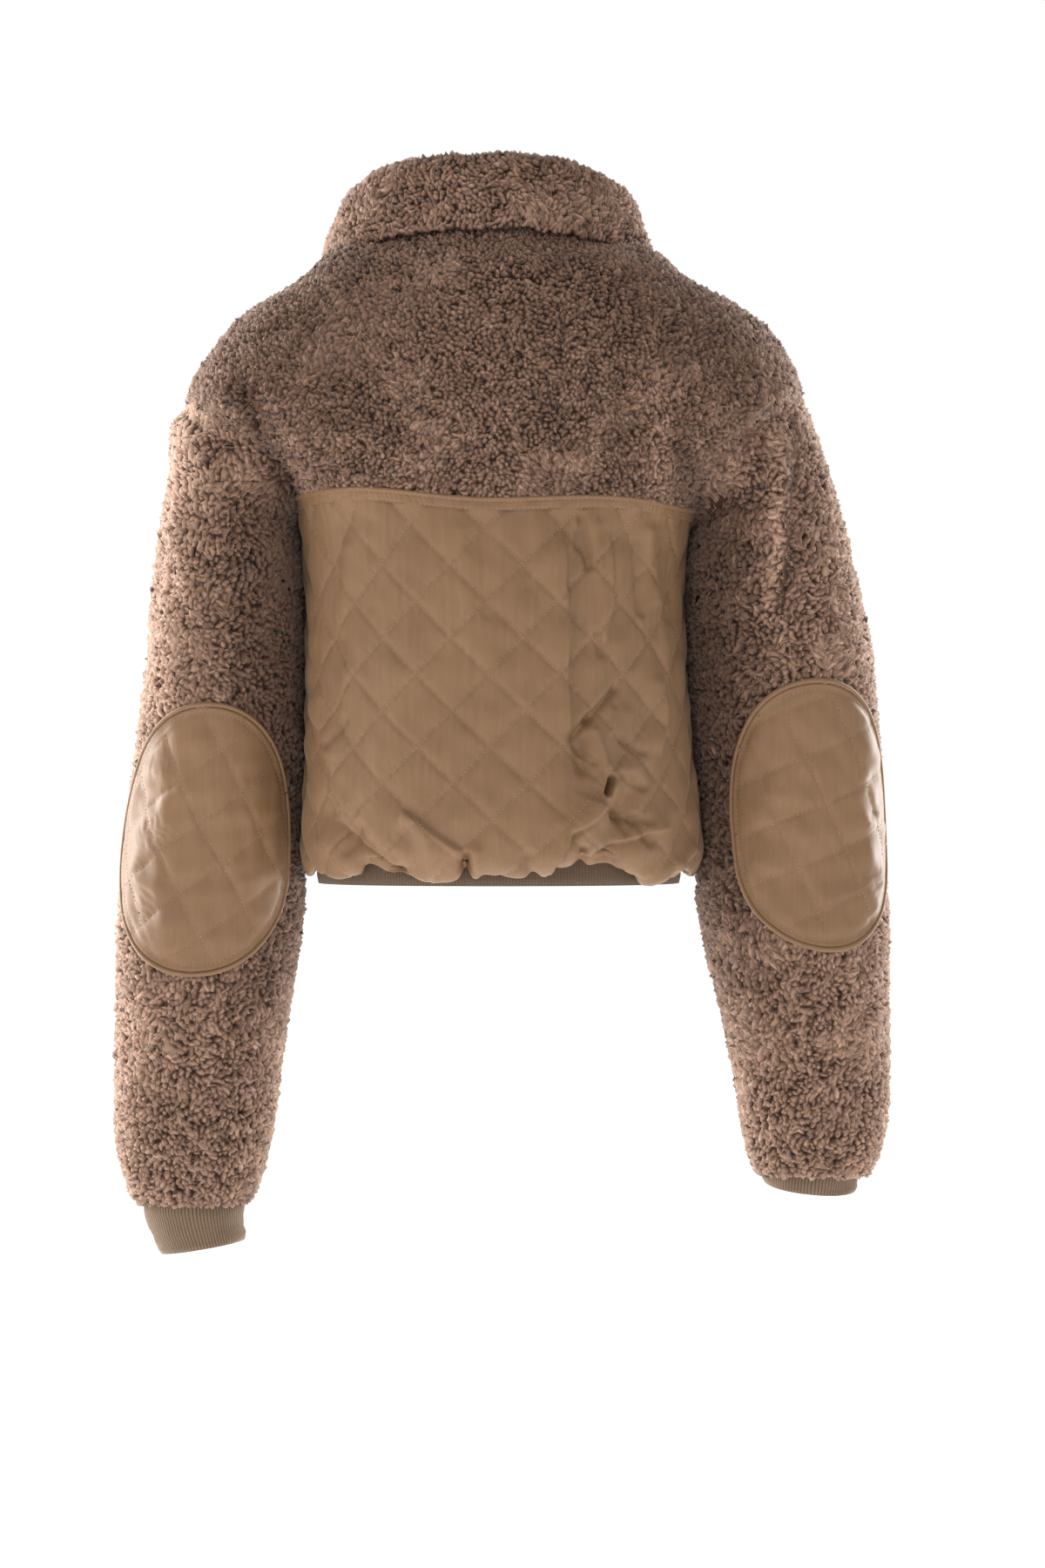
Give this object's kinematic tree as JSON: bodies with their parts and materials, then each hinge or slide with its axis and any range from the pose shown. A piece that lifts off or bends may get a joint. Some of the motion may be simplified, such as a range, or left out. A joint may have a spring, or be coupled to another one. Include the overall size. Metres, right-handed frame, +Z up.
{
  "type": "fleece jacket",
  "caption": "Cropped zip-front bomber jacket in curly pile fleece, hollow as worn, with quilted lower panels, elbow patches, fold-down collar and rib hem and cuffs.",
  "frame": {"origin": "middle of the neck, at the height of the shoulder points beside the collar, where the wearer's shoulders hold the jacket", "axes": "+Z up, -Y towards the zip front, +X towards the wearer's left arm"},
  "size_m": [0.5476, 0.2764, 0.7709],
  "materials": {
    "fleece": "curly sherpa pile, mauve brown, very matt",
    "quilted_satin": "khaki-brown satin with a soft sheen, quilted in diamonds",
    "rib_knit": "fine vertical rib knit, taupe, matt",
    "zip_tape": "plain woven tape, matt brown",
    "zip_metal": "brushed antique brass"
  },
  "bodies": {
    "jacket": {"back_yoke": "fleece", "front_yoke_left": "fleece", "front_yoke_right": "fleece", "collar": "fleece", "sleeve_left": "fleece", "sleeve_right": "fleece", "back_panel": "quilted_satin", "front_panel_left": "quilted_satin", "front_panel_right": "quilted_satin", "yoke_band": "quilted_satin", "elbow_patch_left": "quilted_satin", "elbow_patch_right": "quilted_satin", "patch_piping_left": "quilted_satin", "patch_piping_right": "quilted_satin", "cuff_left": "rib_knit", "cuff_right": "rib_knit", "hem_band": "rib_knit", "zip_tape_left": "zip_tape", "zip_tape_right": "zip_tape", "zip_slider": "zip_metal"},
    "pull": {"zip_pull": "zip_metal"}
  },
  "joints": [
    {"name": "pull_swing", "type": "hinge", "parent": "jacket", "child": "pull", "pos_m": [0, -0.09788, -0.07104], "axis": [-1, 0, 0], "range_deg": [0, 120]}
  ]
}
